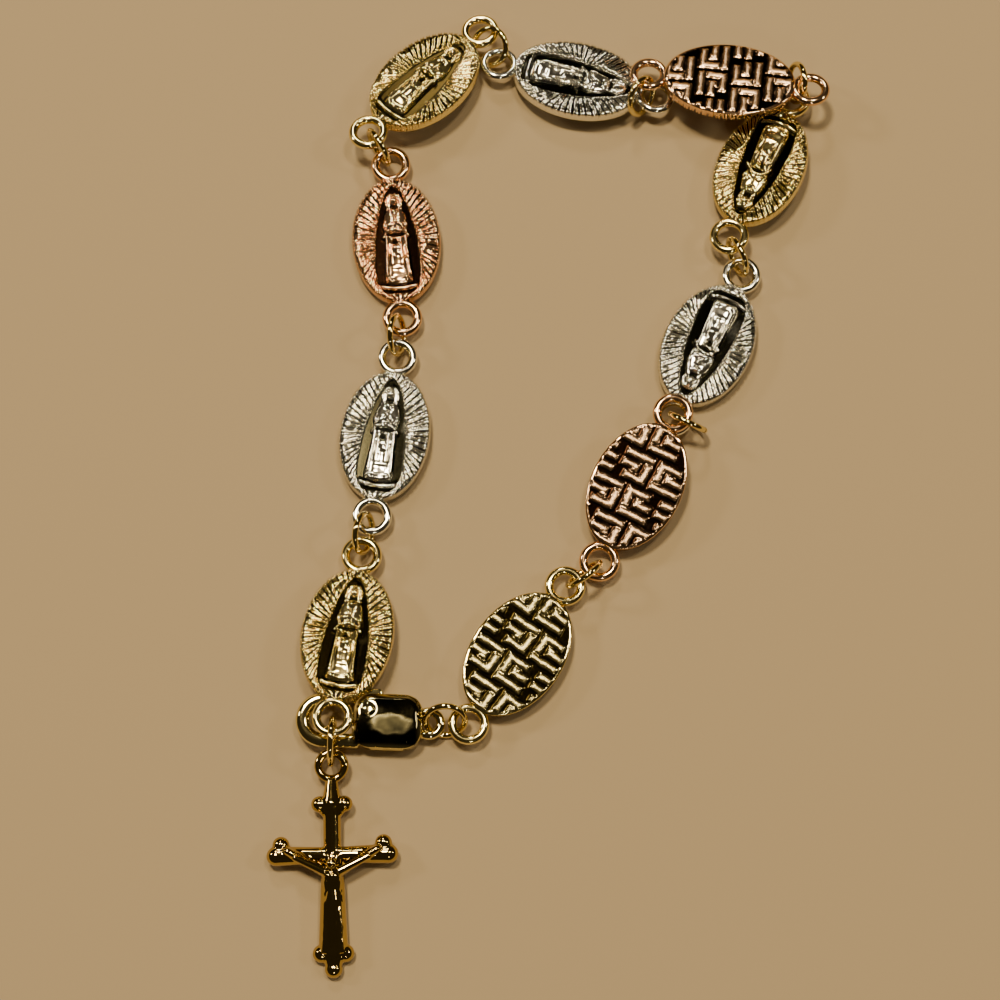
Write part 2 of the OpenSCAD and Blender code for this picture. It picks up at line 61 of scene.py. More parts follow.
def mathNode(tree, operation, *terms):
    made = tree.nodes.new("ShaderNodeMath")
    made.operation = operation
    for k, term in enumerate(terms):
        if isinstance(term, (int, float)):
            made.inputs[k].default_value = term
        else:
            tree.links.new(term, made.inputs[k])
    return made.outputs[0]


# Metals: what they share, then one row for each
plating = {"blotchScale": 420.0, "blotchShare": 0.3, "darkFrom": 0.25, "darkFull": 0.95, "bumpHeight": 0.06,
           "restBump": 0.03, "matteBump": 0.9, "matteRough": 0.17, "scuffRough": 0.5}

# Finish, material, plate, tarnish and painted shade colour, roughness, grain, whether its mesh is marked,
# slot
metalRows = [
    ("gold", "cast zinc, gold plated and worn, with painted shade", "#f2e09c", "#171205", 0.13, 5200.0, True, "cast_gold"),
    ("silver", "cast zinc, silver plated and worn, with painted shade", "#f2f0e2", "#14130c", 0.13, 5200.0, True, "cast_silver"),
    ("rose", "cast zinc, rose gold plated and worn, with painted shade", "#f2c89c", "#1a0e07", 0.13, 5200.0, True, "cast_rose"),
    ("wire", "drawn wire, gold plated and polished", "#e6d18c", "#2a1f0c", 0.08, 2600.0, False, "ring_gold"),
    ("clasp", "cast clasp, gold plated and tumbled, with painted shade", "#e2d498", "#26241a", 0.05, 4200.0, True, "clasp_gold"),
    ("cross", "cast crucifix, gold plated and polished", "#bfa662", "#2a1f0c", 0.05, 2600.0, False,
     "crucifix_gold")]


def platedMetal(name, plate, tarnishAndShade, roughness, grain, marked):
    # A marked mesh is painted darker where its mark says so: tarnish and painted shade in its hollows, and
    # painted shade on the clasp's upper face. It is grainy where it is matte and dull where it is scuffed
    made = bpy.data.materials.new(name)
    made.use_nodes = True
    tree = made.node_tree
    shader = tree.nodes["Principled BSDF"]
    where = addNode(tree, "ShaderNodeTexCoord").outputs["Object"]
    blotch = addNode(tree, "ShaderNodeTexNoise", {"Scale": plating["blotchScale"], "Detail": 3.0},
                     {"Vector": where}).outputs["Fac"]
    fine = addNode(tree, "ShaderNodeTexNoise", {"Scale": grain, "Detail": 4.0, "Roughness": 0.6},
                   {"Vector": where}).outputs["Fac"]
    bump = addNode(tree, "ShaderNodeBump", {"Distance": plating["bumpHeight"] * mm}, {"Height": fine})
    bump.inputs["Strength"].default_value = plating["restBump"]
    shade = mathNode(tree, "MULTIPLY_ADD", blotch, plating["blotchShare"], -plating["blotchShare"] / 2)
    rough = mathNode(tree, "MULTIPLY_ADD", fine, roughness, roughness / 2)
    if marked:
        hollow, matte, scuff = (addNode(tree, "ShaderNodeAttribute", attribute_name=mark).outputs["Fac"]
                                for mark in ("hollow", "matte", "scuff"))
        shade = mathNode(tree, "ADD", shade, hollow)
        rough = mathNode(tree, "MULTIPLY_ADD", matte, plating["matteRough"], rough)
        rough = mathNode(tree, "MULTIPLY_ADD", scuff, plating["scuffRough"], rough)
        strength = mathNode(tree, "MULTIPLY_ADD", matte, plating["matteBump"], plating["restBump"])
        tree.links.new(strength, bump.inputs["Strength"])
    # Random tarnish blotches and the mark's tarnish and painted shade mix the plate towards the dark colour
    dark = addNode(tree, "ShaderNodeMapRange",
                   {"From Min": plating["darkFrom"], "From Max": plating["darkFull"]}, {"Value": shade})
    colour = addNode(tree, "ShaderNodeMix", {"A": linear(plate), "B": linear(tarnishAndShade)},
                     {"Factor": dark.outputs["Result"]}, data_type="RGBA")
    shader.inputs["Metallic"].default_value = 1.0
    tree.links.new(colour.outputs["Result"], shader.inputs["Base Color"])
    tree.links.new(rough, shader.inputs["Roughness"])
    tree.links.new(bump.outputs["Normal"], shader.inputs["Normal"])
    return made


finishes, slots = {}, {}
for finish, *look, slot in metalRows:
    finishes[finish] = platedMetal(*look)
    slots[finish] = slot
print("materials made")


# Mesh helpers
def meshObject(name, points, faces):
    mesh = bpy.data.meshes.new(name)
    mesh.from_pydata([tuple(p) for p in points], [], [tuple(f) for f in faces])
    mesh.update()
    mesh.shade_smooth()
    made = bpy.data.objects.new(name, mesh)
    bpy.context.scene.collection.objects.link(made)
    return made


def addAttribute(mesh, name, values):
    layer = mesh.attributes.new(name, "FLOAT", "POINT")
    layer.data.foreach_set("value", np.asarray(values, dtype=np.float32))


def bakeModifier(source, name):
    # Keeps the evaluated mesh as a plain one and removes its object
    depsgraph = bpy.context.evaluated_depsgraph_get()
    mesh = bpy.data.meshes.new_from_object(source.evaluated_get(depsgraph))
    mesh.name = name
    source.modifiers.clear()
    bpy.data.objects.remove(source)
    return mesh


def newTree(name, inputs):
    tree = bpy.data.node_groups.new(name, "GeometryNodeTree")
    tree.interface.new_socket("Geometry", in_out="INPUT", socket_type="NodeSocketGeometry")
    for label, kind, value in inputs:
        socket = tree.interface.new_socket(label, in_out="INPUT", socket_type=kind)
        socket.default_value = value
    tree.interface.new_socket("Finish", in_out="INPUT", socket_type="NodeSocketMaterial")
    tree.interface.new_socket("Geometry", in_out="OUTPUT", socket_type="NodeSocketGeometry")
    return tree, tree.nodes.new("NodeGroupInput")


def endTree(tree, given, geometry):
    solid = addNode(tree, "GeometryNodeRealizeInstances", {}, {"Geometry": geometry})
    painted = addNode(tree, "GeometryNodeSetMaterial", {},
                      {"Geometry": solid.outputs[0], "Material": given.outputs["Finish"]})
    result = tree.nodes.new("NodeGroupOutput")
    tree.links.new(painted.outputs[0], result.inputs[0])


def addTree(target, tree, values):
    modifier = target.modifiers.new(tree.name, "NODES")
    modifier.node_group = tree
    for item in tree.interface.items_tree:
        if item.item_type == "SOCKET" and item.in_out == "INPUT" and item.name in values:
            modifier[item.identifier] = values[item.name]


def framed(mid, xAxis, yAxis):
    xAxis, yAxis = Vector(xAxis).normalized(), Vector(yAxis).normalized()
    zAxis = xAxis.cross(yAxis)
    made = Matrix((xAxis, yAxis, zAxis)).transposed().to_4x4()
    made.translation = Vector(mid) * mm
    return made


def place(mesh, name, matrix, finish, body, *replaced):
    mesh.transform(matrix)
    mesh.materials.clear()
    mesh.materials.append(finishes[finish])
    made = bpy.data.objects.new(name, mesh)
    bpy.context.scene.collection.objects.link(made)
    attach(made, body)
    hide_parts(*replaced)


def smoothStep(low, high, value):
    t = np.clip((value - low) / (high - low), 0, 1)
    return t * t * (3 - 2 * t)


def dome(u, v=0.0):
    return np.sqrt(np.clip(1 - u * u - v * v, 0, 1))


def waves(rows, x, y):
    # Each row: height of a wave, how fast it runs across and up, its start
    return sum(high * np.sin(across * x + up * y + start) for high, across, up, start in rows)


# Medal: lengths in millimetres, the rest are shares and counts
# The floor, crease and key darkening values paint tarnish and shade: the recess floor, the creases round the
# figure and the back between the key bars are painted darker
medal = {
    "length": 12.2, "width": 8.2, "thickness": 1.0, "gridSteps": 98,
    "recessDepth": 0.3, "recessWidth": 0.45, "recessLength": 0.86, "recessTaper": 0.3, "recessSquare": 0.4,
    "fan": 0.5, "bowl": -0.012, "bowlUnder": 0.3, "floorTarnishAndShade": 0.98, "floorLift": (0.16, 0.04),
    "figureRelief": 0.62, "figureFoot": -4.45, "figureCrown": 4.75, "figureFade": 0.93, "softPasses": 2,
    "creasePasses": 12, "creaseDepth": 0.06, "creaseTarnishAndShade": 0.85,
    "rays": 56, "rayDepth": 0.24, "rayRise": 0.12, "rayFrom": 0.1, "rayTo": 0.98, "rayBands": 13,
    "rimFrom": 0.6, "scallop": 0.035, "waver": 0.3, "unevenness": 0.22, "seed": 4,
    "keyBar": 0.52, "keyGroove": 0.5, "keyGap": 0.6, "keyTip": 1.6, "keyShift": 0.25, "keyRelief": 0.175,
    "keyGrain": 0.012, "grainSeed": 6, "keyFall": (0.2, -0.22), "keyEdge": (0.97, 0.93), "keyTarnishAndShade": 1.6,
    "backShare": 0.97, "keyWaves": [(0.025, 5.1, 2.3, 0.0), (0.025, -3.1, 7.7, 1.0)],
    "eyeOuter": 3.64, "eyeWire": 0.8, "eyeSteps": 72, "eyeSides": 20}

# Eye centres of each medal from the foot to the head, its roll, which face is up, its finish
medalRows = [
    ("medal_01", (-19.73, -22.65, 3.05), (-17.534, -7.865, 1.38), 0, "front", "gold"),
    ("medal_02", (-16.687, -4.181, 1.2), (-14.555, 10.707, 1.2), 0, "front", "silver"),
    ("medal_03", (-14.159, 14.506, 1.2), (-15.379, 29.497, 1.2), 0, "front", "rose"),
    ("medal_04", (-17.426, 32.111, 2.784), (-7.088, 42.949, 1.416), -10, "front", "gold"),
    ("medal_05", (-5.281, 39.697, 1.272), (9.346, 36.203, 1.488), -10, "front", "silver"),
    ("medal_06", (8.649, 38.014, 2.604), (23.548, 36.122, 3.396), -14, "back", "rose"),
    ("medal_07", (21.968, 35.87, 1.488), (15.822, 22.153, 1.992), 8, "front", "gold"),
    ("medal_08", (16.902, 18.635, 1.2), (10.419, 5.064, 1.2), 0, "front", "silver"),
    ("medal_09", (10.304, 5.03, 2.46), (3.605, -8.386, 1.308), 0, "back", "rose"),
    ("medal_10", (0.55, -10.611, 1.2), (-7.976, -23.0, 1.416), 0, "back", "gold")]

# The cloaked figure, in millimetres from the middle of the medal, heights as shares of the relief.
# Outline: height up the medal, half width, relief
cloakRows = np.array([
    (-4.4, 0.9, 0.3), (-4.2, 1.25, 0.5), (-3.6, 1.32, 0.56), (-2.0, 1.2, 0.56), (-0.5, 1.05, 0.5),
    (0.3, 0.95, 0.42), (0.9, 1.1, 0.55), (1.8, 1.15, 0.62), (2.5, 0.95, 0.5), (3.1, 0.68, 0.3),
    (3.5, 0.72, 0.3), (4.1, 0.78, 0.34), (4.5, 0.55, 0.28), (4.7, 0.1, 0.1)])

# Rounded lumps: middle, half widths, relief, turn
cloakLumps = [
    (0.0, 3.85, 0.42, 0.52, 1.0, 0), (0.0, 2.72, 0.58, 0.2, 0.88, 0), (0.0, 1.78, 0.2, 0.55, 1.05, 0),
    (-0.5, 1.42, 0.55, 0.22, 0.95, 32), (0.5, 1.42, 0.55, 0.22, 0.95, -32),
    (-0.97, 1.35, 0.24, 0.45, 0.85, 0), (0.97, 1.35, 0.24, 0.45, 0.85, 0),
    (0.1, -1.25, 0.4, 0.55, 0.85, 15), (0.0, -2.75, 0.62, 0.24, 0.85, 0),
    (-0.78, -3.95, 0.34, 0.22, 0.95, 0), (0.0, -4.1, 0.32, 0.22, 0.95, 0),
    (0.78, -3.95, 0.34, 0.22, 0.95, 0), (0.0, 3.83, 0.05, 0.14, 1.04, 0)]

# Hollows: middle, half widths, depth
cloakHollows = [
    (0.0, 3.24, 0.5, 0.15, 0.3), (-0.1, -0.12, 0.32, 0.6, 0.4), (-0.62, -1.6, 0.12, 1.2, 0.22),
    (0.68, -1.8, 0.12, 1.2, 0.22), (0.0, 2.28, 0.5, 0.12, 0.2), (-0.15, 3.93, 0.09, 0.03, 0.04),
    (0.15, 3.93, 0.09, 0.03, 0.04), (0.0, 3.6, 0.11, 0.02, 0.03), (0.0, 0.5, 1.0, 0.2, 0.5)]

# Raised seams: points, half width, relief
cloakSeams = [
    (((-1.15, 0.15), (-0.75, 0.75), (-0.1, 0.98), (0.55, 0.8), (1.15, 0.2)), 0.15, 1.0),
    (((-0.85, 0.3), (-1.02, -3.6)), 0.13, 0.9), (((0.85, 0.3), (1.08, -3.6)), 0.13, 0.9),
    (((-0.42, 0.1), (-0.46, -3.6)), 0.1, 0.78), (((0.36, 0.2), (0.5, -3.6)), 0.1, 0.78),
    (((-0.66, 3.2), (-0.72, 3.9), (-0.4, 4.4), (0.4, 4.4), (0.72, 3.9), (0.66, 3.2)), 0.12, 0.5),
    (((-1.75, -4.45), (-0.9, -4.7), (0.0, -4.78), (0.9, -4.7), (1.75, -4.45)), 0.14, 0.7)]


def rimPoint(t):
    return np.stack([medal["width"] / 2 * np.cos(t), medal["length"] / 2 * np.sin(t)], -1)


def recessPoint(t):
    # Points crowd towards the middle, so the rays fan out from it
    up = np.sin(t) * (medal["fan"] + (1 - medal["fan"]) * np.abs(np.sin(t)) ** 3)
    side = np.sign(np.cos(t)) * np.sqrt(np.clip(1 - up * up, 0, 1))
    power = np.where(up < 0, medal["recessSquare"], 1.0)
    half = medal["width"] / 2 * medal["recessWidth"] * (1 - medal["recessTaper"] * up)
    x = half * np.sign(side) * np.abs(side) ** power
    return np.stack([x, medal["length"] / 2 * medal["recessLength"] * up], -1)


def discGrid(steps):
    # A square grid folded on to a disc: radius and angle of each point, the quads, the rim in order
    side = np.linspace(-1, 1, steps + 1)
    a, b = np.meshgrid(side, side, indexing="ij")
    safeA, safeB = np.where(a == 0, 1, a), np.where(b == 0, 1, b)
    wide = np.abs(a) > np.abs(b)
    radius = np.maximum(np.abs(a), np.abs(b))
    angle = np.where(wide, np.pi / 4 * b / safeA + np.where(a < 0, np.pi, 0),
                     np.pi / 2 - np.pi / 4 * a / safeB + np.where(b < 0, np.pi, 0))
    angle = np.where(radius == 0, 0, angle) % (2 * np.pi)
    index = np.arange((steps + 1) ** 2).reshape(steps + 1, steps + 1)
    quads = np.stack([index[:-1, :-1], index[1:, :-1], index[1:, 1:], index[:-1, 1:]], -1).reshape(-1, 4)
    edge = np.concatenate([index[0], index[-1], index[1:-1, 0], index[1:-1, -1]])
    turn = np.round(angle.ravel()[edge] / (2 * np.pi) * 4 * steps).astype(int) % (4 * steps)
    return radius.ravel(), angle.ravel(), quads, edge[np.argsort(turn)]


def figureField(x, y):
    # Height of the standing figure over the floor of the recess, in millimetres
    half = np.interp(y, cloakRows[:, 0], cloakRows[:, 1])
    inside = (y > medal["figureFoot"]) & (y < medal["figureCrown"])
    across = np.clip(np.abs(x) / half, 0, 1)
    body = np.interp(y, cloakRows[:, 0], cloakRows[:, 2]) * (1 - across ** 4) ** 0.5 * inside
    for px, py, rx, ry, top, turn in cloakLumps:
        c, s = math.cos(math.radians(turn)), math.sin(math.radians(turn))
        u, v = (x - px) * c + (y - py) * s, (y - py) * c - (x - px) * s
        body = np.maximum(body, top * dome(u / rx, v / ry))
    for path, reach, top in cloakSeams:
        for (ax, ay), (bx, by) in zip(path, path[1:]):
            dx, dy = bx - ax, by - ay
            along = np.clip(((x - ax) * dx + (y - ay) * dy) / (dx * dx + dy * dy), 0, 1)
            away = np.hypot(x - ax - along * dx, y - ay - along * dy)
            body = np.maximum(body, top * dome(away / reach))
    for px, py, rx, ry, depth in cloakHollows:
        body = body - depth * np.clip(1 - ((x - px) / rx) ** 2 - ((y - py) / ry) ** 2, 0, 1)
    return medal["figureRelief"] * np.clip(body, 0, None)


def keyField(x, y):
    # 1 on the bars of the broken key pattern and 0 between them
    bar, groove = medal["keyBar"], medal["keyGroove"]
    side = 3 * bar + 2 * groove
    pitch = side + medal["keyGap"]
    rows, columns = math.ceil(medal["length"] / pitch), math.ceil(medal["width"] / pitch)
    # Bars of one key: across from and to, up from and to
    bars = [(0, side, 0, bar), (side - bar, side, bar + groove / 2, side), (bar, side, side - bar, side),
            (0, side - 2 * bar, bar + groove, 2 * bar + groove),
            (side - 3 * bar, side - 2 * bar, 2 * bar + groove, side - medal["keyTip"] * bar)]
    nearest = np.full(x.shape, np.inf)
    for r in range(rows):
        for c in range(columns):
            flip = 1 if (r + c) % 2 == 0 else -1
            shift = medal["keyShift"] if r % 2 == 0 else -medal["keyShift"]
            cx = (c - (columns - 1) / 2 + shift) * pitch
            cy = (r - (rows - 1) / 2) * pitch
            u, v = (x - cx) * flip + side / 2, (y - cy) * flip + side / 2
            for x0, x1, y0, y1 in bars:
                outAcross = np.abs(u - (x0 + x1) / 2) - (x1 - x0) / 2
                outUp = np.abs(v - (y0 + y1) / 2) - (y1 - y0) / 2
                nearest = np.minimum(nearest, np.maximum(outAcross, outUp))
    oval = np.hypot(x / (medal["width"] / 2), y / (medal["length"] / 2))
    uneven = nearest + waves(medal["keyWaves"], x, y)
    return smoothStep(*medal["keyFall"], uneven) * smoothStep(*medal["keyEdge"], oval)


def torus(mid, radius, wire, steps, sides):
    a = np.linspace(0, 2 * np.pi, steps, endpoint=False)[:, None]
    b = np.linspace(0, 2 * np.pi, sides, endpoint=False)[None, :]
    r = radius + wire * np.cos(b)
    z = mid[2] + wire * np.sin(b) + 0 * a
    points = np.stack([mid[0] + r * np.cos(a), mid[1] + r * np.sin(a), z], -1)
    i, j = np.meshgrid(np.arange(steps), np.arange(sides), indexing="ij")
    i2, j2 = (i + 1) % steps, (j + 1) % sides
    quads = np.stack([i * sides + j, i2 * sides + j, i2 * sides + j2, i * sides + j2], -1).reshape(-1, 4)
    return points.reshape(-1, 3), quads


# A medal's mesh as it grows: lists of points and faces, and the marks of its points
def emptyCast():
    marks = {name: [] for name in ("turn", "front", "rim", "hollow", "matte")}
    return {"points": [], "faces": [], "marks": marks}


def addPoints(cast, made, loops, **marks):
    start = sum(len(p) for p in cast["points"])
    cast["points"].append(made)
    cast["faces"].extend((start + loops).tolist())
    for name, parts in cast["marks"].items():
        parts.append(np.broadcast_to(marks.get(name, 0.0), len(made)))
    return start


def joinRings(cast, previous, fresh, turned=False):
    # The second ring may have twice as many points as the first
    after = np.roll(previous, -1)
    if len(fresh) == len(previous):
        loops = np.stack([previous, fresh, np.roll(fresh, -1), after], -1)
    else:
        even, odd = fresh[::2], fresh[1::2]
        loops = np.concatenate([np.stack([previous, even, odd], -1), np.stack([previous, odd, after], -1),
                                np.stack([after, odd, np.roll(even, -1)], -1)])
    cast["faces"].extend((loops[:, ::-1] if turned else loops).tolist())


def neighbours(field):
    return field[:-2, 1:-1] + field[2:, 1:-1] + field[1:-1, :-2] + field[1:-1, 2:]


def addRecess(cast, radius, angle, quads, floor):
    flat = radius[:, None] * recessPoint(angle)
    side = medal["gridSteps"] + 1
    lift = figureField(flat[:, 0], flat[:, 1]) * smoothStep(1.0, medal["figureFade"], radius)
    lift = lift.reshape(side, side)
    for _ in range(medal["softPasses"]):
        lift[1:-1, 1:-1] = (4 * lift[1:-1, 1:-1] + neighbours(lift)) / 8
    wide = lift.copy()
    for _ in range(medal["creasePasses"]):
        wide[1:-1, 1:-1] = neighbours(wide) / 4
    crease = np.clip((wide - lift).ravel() / medal["creaseDepth"], 0, 1)
    lift = lift.ravel()
    bowl = medal["bowl"] * (radius ** 2 - 1) * smoothStep(medal["bowlUnder"], 0.0, lift)
    # The recess floor, except where the figure rises, and the creases round the figure are painted darker,
    # as tarnish and painted shade
    tarnishAndShade = medal["floorTarnishAndShade"] * smoothStep(*medal["floorLift"], lift) + medal["creaseTarnishAndShade"] * crease
    addPoints(cast, np.column_stack([flat, floor + lift + bowl]), quads, turn=angle / (2 * np.pi),
              hollow=np.clip(tarnishAndShade, 0, 1))


def bandRows(top, floor):
    # Way from the recess to the rim, height, depth of the rays there, tarnish and painted shade, darker at
    # the foot of the band and on the side wall
    foot = [(0.03, floor + 0.18, 0.1, 0.5), (0.06, top, 0.5, 0.2)]
    wall = [(1.0, top - 0.08, 0.8, 0), (1.0, 0.0, 0.2, 0.1), (1.0, 0.15 - top, 0, 0.1),
            (0.985, 0.04 - top, 0, 0.2)]
    # The crown's top lies a little inside the middle of the band
    crownSlope, crownShift, crownPower = 1.7, 0.8, 4
    crown = [(way, top + medal["rayRise"] * (1 - (crownSlope * way - crownShift) ** crownPower), 1, 0)
             for way in np.linspace(medal["rayFrom"], medal["rayTo"], medal["rayBands"])]
    return foot + crown + wall


def addBands(cast, edge, top, floor):
    # The band of rays and the side wall; returns the last ring
    leastRelief = 0.1
    count = 2 * len(edge)
    turn = np.arange(count) / count
    t = turn * 2 * np.pi
    previous = edge
    # Each ring is painted darker by its row's tarnish and painted shade
    for way, height, relief, tarnishAndShade in bandRows(top, floor):
        ringXy = (1 - way) * recessPoint(t) + way * rimPoint(t)
        scalloped = smoothStep(medal["rimFrom"], 1.0, way) if relief > leastRelief else 0.0
        start = addPoints(cast, np.column_stack([ringXy, np.full(count, height)]), np.zeros((0, 4), int),
                          turn=turn, front=relief, hollow=tarnishAndShade, rim=scalloped)
        fresh = start + np.arange(count)
        joinRings(cast, previous, fresh)
        previous = fresh
    return previous


def addBack(cast, radius, angle, quads, edge, top, previous):
    flat = medal["backShare"] * radius[:, None] * rimPoint(angle)
    key = keyField(flat[:, 0], flat[:, 1])
    grain = medal["keyGrain"] * np.random.default_rng(medal["grainSeed"]).uniform(-1, 1, key.shape)
    # The back is painted darker between the key bars and round its edge, as tarnish and painted shade
    tarnishAndShade = np.clip(1 - medal["keyTarnishAndShade"] * key, 0, 1) * smoothStep(1.0, medal["backShare"], radius)
    height = -top - (medal["keyRelief"] + grain) * key
    start = addPoints(cast, np.column_stack([flat, height]), quads[:, ::-1], turn=angle / (2 * np.pi),
                      hollow=tarnishAndShade, matte=key)
    joinRings(cast, start + edge, previous, turned=True)


def addEyes(cast):
    wire = medal["eyeWire"] / 2
    eyeRadius = medal["eyeOuter"] / 2 - wire
    for side in (-1, 1):
        mid = (0, side * (medal["length"] / 2 + eyeRadius), 0)
        addPoints(cast, *torus(mid, eyeRadius, wire, medal["eyeSteps"], medal["eyeSides"]))


def medalBlank():
    top = medal["thickness"] / 2
    floor = top - medal["recessDepth"]
    radius, angle, quads, edge = discGrid(medal["gridSteps"])
    cast = emptyCast()
    addRecess(cast, radius, angle, quads, floor)
    last = addBands(cast, edge, top, floor)
    addBack(cast, radius, angle, quads, edge, top, last)
    addEyes(cast)
    blank = meshObject("medalBlank", np.concatenate(cast["points"]) * mm, cast["faces"])
    for name, parts in cast["marks"].items():
        addAttribute(blank.data, name, np.concatenate(parts))
    return blank


def castRaysTree():
    # Cuts uneven double rays into the front band of a medal, and marks their grooves to be painted darker,
    # as tarnish and painted shade
    tree, given = newTree("castRays", [
        ("Rays", "NodeSocketInt", 56), ("Depth", "NodeSocketFloat", 0.0002),
        ("Scallop", "NodeSocketFloat", 0.03), ("Waver", "NodeSocketFloat", 0.35),
        ("Unevenness", "NodeSocketFloat", 0.4), ("Seed", "NodeSocketInt", 4)])
    noises = {"waver": (700.0, 0.3), "patches": (2200.0, 7.7), "pits": (1100.0, 5.1)}  # scale, seed shift
    rayWave, rayRest, middleWave = 0.34, 0.47, -0.42
    patchShare, pitShare, grooveTarnishAndShadePower = 1.6, 0.6, 1.1
    where = addNode(tree, "GeometryNodeInputPosition").outputs[0]

    def calc(operation, *terms):
        return mathNode(tree, operation, *terms)

    def mark(name):
        return addNode(tree, "GeometryNodeInputNamedAttribute", {"Name": name},
                       data_type="FLOAT").outputs["Attribute"]

    def noise(name):
        scale, seedShift = noises[name]
        seed = calc("ADD", given.outputs["Seed"], seedShift)
        return addNode(tree, "ShaderNodeTexNoise", {"Scale": scale, "Detail": 2.0},
                       {"Vector": where, "W": seed}, noise_dimensions="4D").outputs["Fac"]

    def wave(phase, turns, share, rest):
        swing = calc("COSINE", calc("MULTIPLY", phase, 2 * math.pi * turns))
        return calc("MULTIPLY_ADD", swing, share, rest)

    turn, front, rim, hollow = (mark(name) for name in ("turn", "front", "rim", "hollow"))
    waver = calc("MULTIPLY", calc("SUBTRACT", noise("waver"), 0.5), given.outputs["Waver"])
    phase = calc("MULTIPLY_ADD", turn, given.outputs["Rays"], waver)
    # Two lines a ray: a wide groove between rays and a slight one along their middle
    height = calc("ADD", wave(phase, 1, rayWave, rayRest), wave(phase, 2, middleWave, 0.0))
    # Single rays and patches of them are worn down
    ray = calc("ADD", calc("ROUND", calc("MULTIPLY", turn, given.outputs["Rays"])), given.outputs["Seed"])
    single = addNode(tree, "ShaderNodeTexWhiteNoise", {}, {"W": ray}, noise_dimensions="1D").outputs["Value"]
    patchy = calc("MULTIPLY_ADD", calc("SUBTRACT", noise("patches"), 0.5), patchShare, single)
    loss = calc("MULTIPLY", calc("MULTIPLY", patchy, given.outputs["Unevenness"]), height)
    groove = calc("ADD", calc("SUBTRACT", 1.0, height), loss)
    groove = calc("MINIMUM", calc("MAXIMUM", groove, 0.0), 1.0)
    groove = calc("ADD", groove, calc("MULTIPLY_ADD", noise("pits"), pitShare, -pitShare / 2))
    # The grooves sink, and the rim is drawn in at their ends
    down = calc("MULTIPLY", calc("MULTIPLY", groove, front), given.outputs["Depth"])
    inward = calc("MULTIPLY", calc("MULTIPLY", groove, rim), given.outputs["Scallop"])
    inward = calc("MULTIPLY", inward, -1.0)
    parts = addNode(tree, "ShaderNodeSeparateXYZ", {}, {"Vector": where})
    offset = addNode(tree, "ShaderNodeCombineXYZ", {}, {
        "X": calc("MULTIPLY", parts.outputs["X"], inward), "Y": calc("MULTIPLY", parts.outputs["Y"], inward),
        "Z": calc("MULTIPLY", down, -1.0)})
    # The deeper a groove, the darker it is painted, as tarnish and painted shade
    grooveTarnishAndShade = calc("MULTIPLY", calc("POWER", groove, grooveTarnishAndShadePower), front)
    marked = addNode(tree, "GeometryNodeStoreNamedAttribute", {"Name": "hollow"},
                     {"Geometry": given.outputs["Geometry"], "Value": calc("MAXIMUM", hollow, grooveTarnishAndShade)},
                     data_type="FLOAT", domain="POINT")
    moved = addNode(tree, "GeometryNodeSetPosition", {},
                    {"Geometry": marked.outputs[0], "Offset": offset.outputs[0]})
    endTree(tree, given, moved.outputs[0])
    return tree


blank = medalBlank()
addTree(blank, castRaysTree(), {
    "Rays": medal["rays"], "Depth": medal["rayDepth"] * mm, "Scallop": medal["scallop"],
    "Waver": medal["waver"], "Unevenness": medal["unevenness"], "Seed": medal["seed"],
    "Finish": finishes["gold"]})
castMesh = bakeModifier(blank, "castMedal")
for name, foot, head, roll, face, finish in medalRows:
    foot, head = Vector(foot), Vector(head)
    along = (head - foot).normalized()
    across = along.cross(Vector((0, 0, 1))).normalized()
    out = across.cross(along)
    turn = math.radians(roll + (180 if face == "back" else 0))
    matrix = framed((foot + head) / 2, across * math.cos(turn) - out * math.sin(turn), along)
    place(castMesh.copy(), name + "_cast", matrix, finish, rootBody, name)
print("medals made", len(castMesh.polygons), "faces each")

# Rings: sizes in millimetres, the slit in degrees
ring = {"outer": 4.0, "wire": 0.56, "slit": 3.5, "steps": 88, "sides": 16}
crossRing = {"outer": 4.5, "wire": 0.56, "slit": 3.0, "steps": 96, "sides": 16}

# Centre of each ring, heading of its level diameter, lean from upright, place of its slit
ringRows = [
    ("jump_ring_01", (-17.349, -5.955, 1.969), 78.05, 20, -60),
    ("jump_ring_02", (-14.601, 12.632, 1.952), 84.05, 18, -60),
    ("jump_ring_03", (-16.473, 30.922, 2.061), 121.55, -1, -120),
    ("jump_ring_04", (-6.186, 41.41, 1.387), -50.95, 51.1, -60),
    ("jump_ring_05", (7.963, 35.897, 2.455), 56.07, 24, -90),
    ("jump_ring_06", (22.478, 37.364, 2.162), -81.93, 17, -90),
    ("jump_ring_07", (16.516, 20.142, 2.024), -65.93, 5, -60),
    ("jump_ring_08", (11.634, 4.361, 1.945), -26.93, -17, 20),
    ("jump_ring_09", (2.205, -9.689, 1.957), -141.93, 18, -60),
    ("clasp_ring", (-10.0, -22.744, 1.685), 180.47, -37, -60),
    ("crucifix_ring", (-19.8, -24.644, 2.25), 88.0, 0, 60)]


def wireRingTree():
    # A ring of round wire with a narrow slit where its ends meet
    tree, given = newTree("wireRing", [
        ("Radius", "NodeSocketFloat", 0.0017), ("Wire Radius", "NodeSocketFloat", 0.0003),
        ("Slit", "NodeSocketFloat", 0.06), ("Steps", "NodeSocketInt", 88), ("Sides", "NodeSocketInt", 16)])
    sweep = mathNode(tree, "SUBTRACT", 2 * math.pi, given.outputs["Slit"])
    path = addNode(tree, "GeometryNodeCurveArc", {}, {
        "Radius": given.outputs["Radius"], "Resolution": given.outputs["Steps"], "Sweep Angle": sweep,
        "Start Angle": mathNode(tree, "MULTIPLY", given.outputs["Slit"], 0.5)}, mode="RADIUS")
    section = addNode(tree, "GeometryNodeCurvePrimitiveCircle", {}, {
        "Radius": given.outputs["Wire Radius"], "Resolution": given.outputs["Sides"]}, mode="RADIUS")
    tube = addNode(tree, "GeometryNodeCurveToMesh", {"Fill Caps": True},
                   {"Curve": path.outputs["Curve"], "Profile Curve": section.outputs["Curve"]})
    endTree(tree, given, tube.outputs[0])
    return tree


